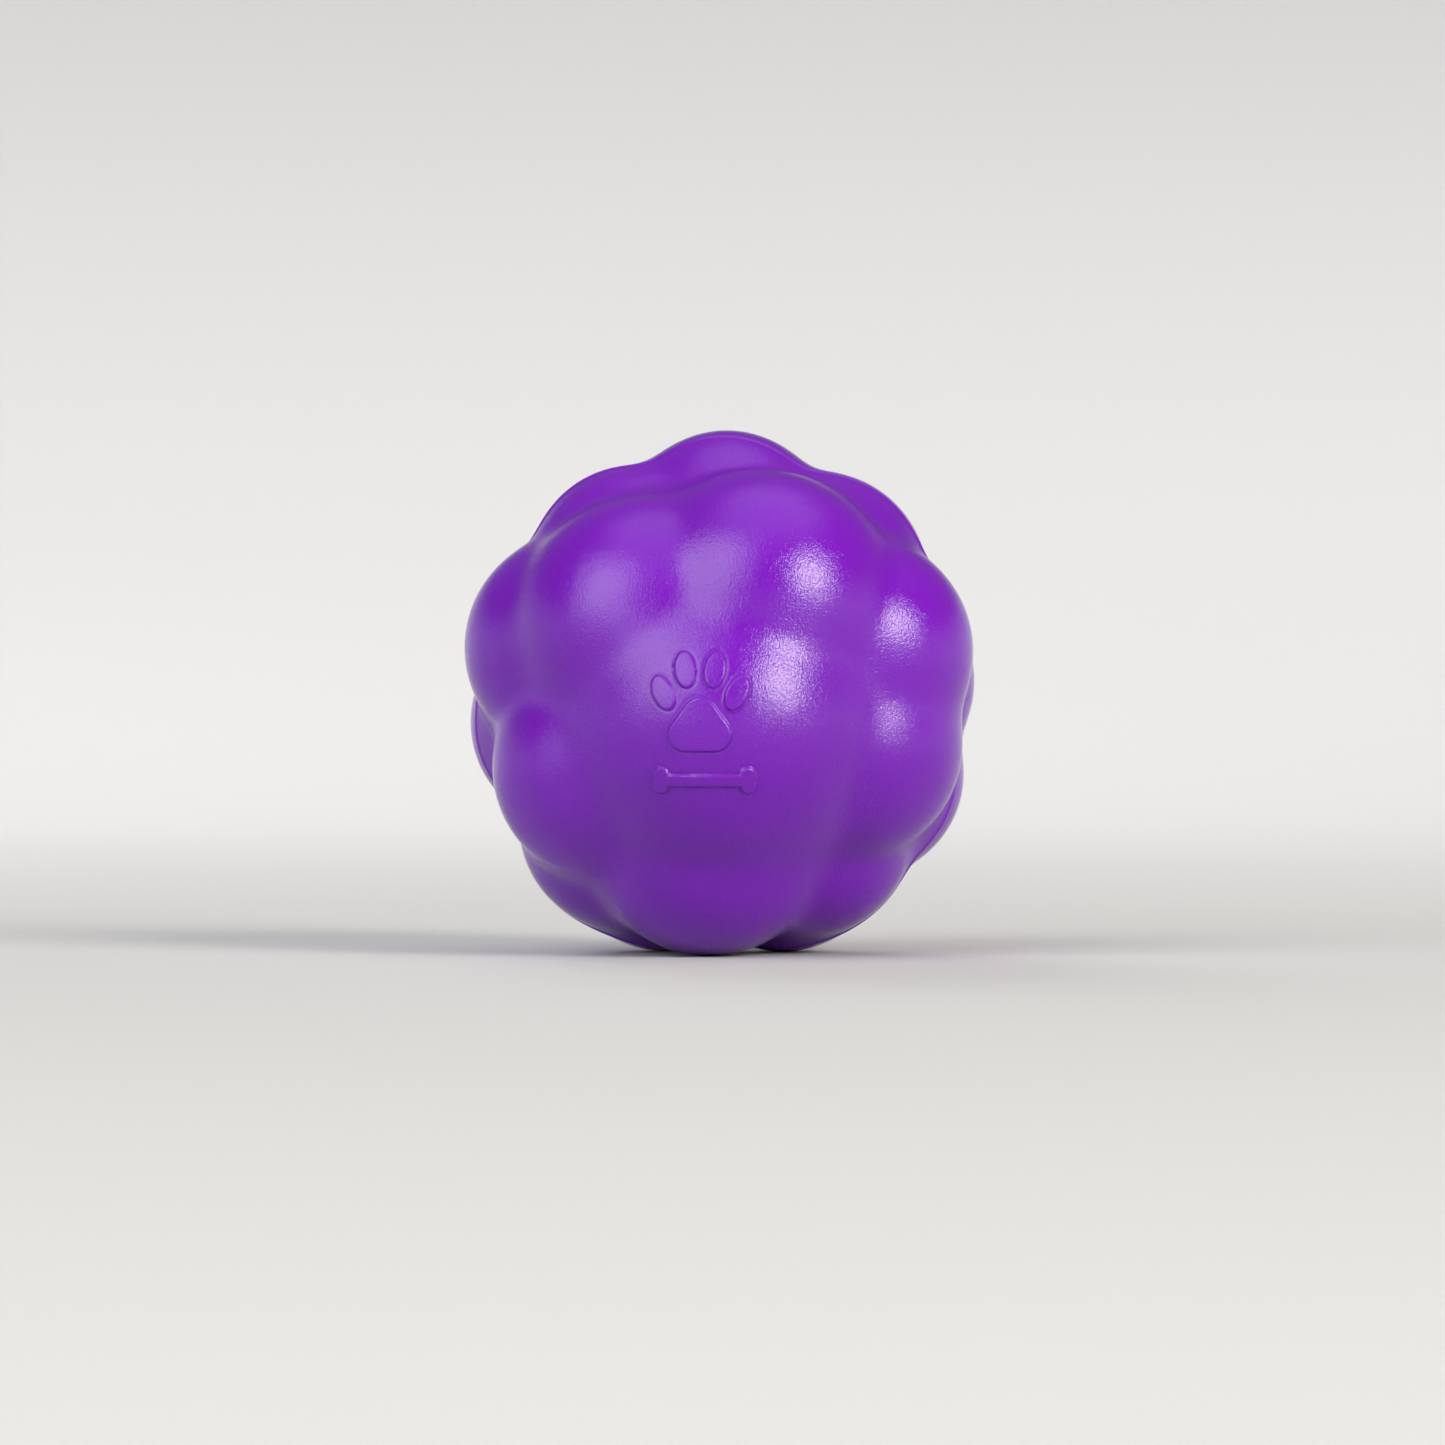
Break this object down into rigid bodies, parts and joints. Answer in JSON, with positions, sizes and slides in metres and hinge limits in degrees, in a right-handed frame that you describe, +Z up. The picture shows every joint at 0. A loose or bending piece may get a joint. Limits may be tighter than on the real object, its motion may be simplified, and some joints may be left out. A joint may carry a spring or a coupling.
{
  "type": "lobed rubber ball",
  "caption": "Hollow rubber play ball with rounded lobes all over, moulded in two halves bonded along one parting line, so that it bounces in unexpected directions.",
  "frame": {"origin": "centre of the ball, on the parting plane between the two halves", "axes": "+Z up, away from the three lobes that the ball stands on; -Y is the front, where the raised emblem is; +X is to the right of the emblem"},
  "size_m": [0.0624, 0.0635, 0.064],
  "materials": {
    "moulded_rubber": "satin purple rubber with a fine moulded grain",
    "bond_rubber": "matt cured rubber cement"
  },
  "bodies": {
    "root": {"front_half": "moulded_rubber", "rear_half": "moulded_rubber", "bond_ring": "bond_rubber"}
  },
  "joints": []
}
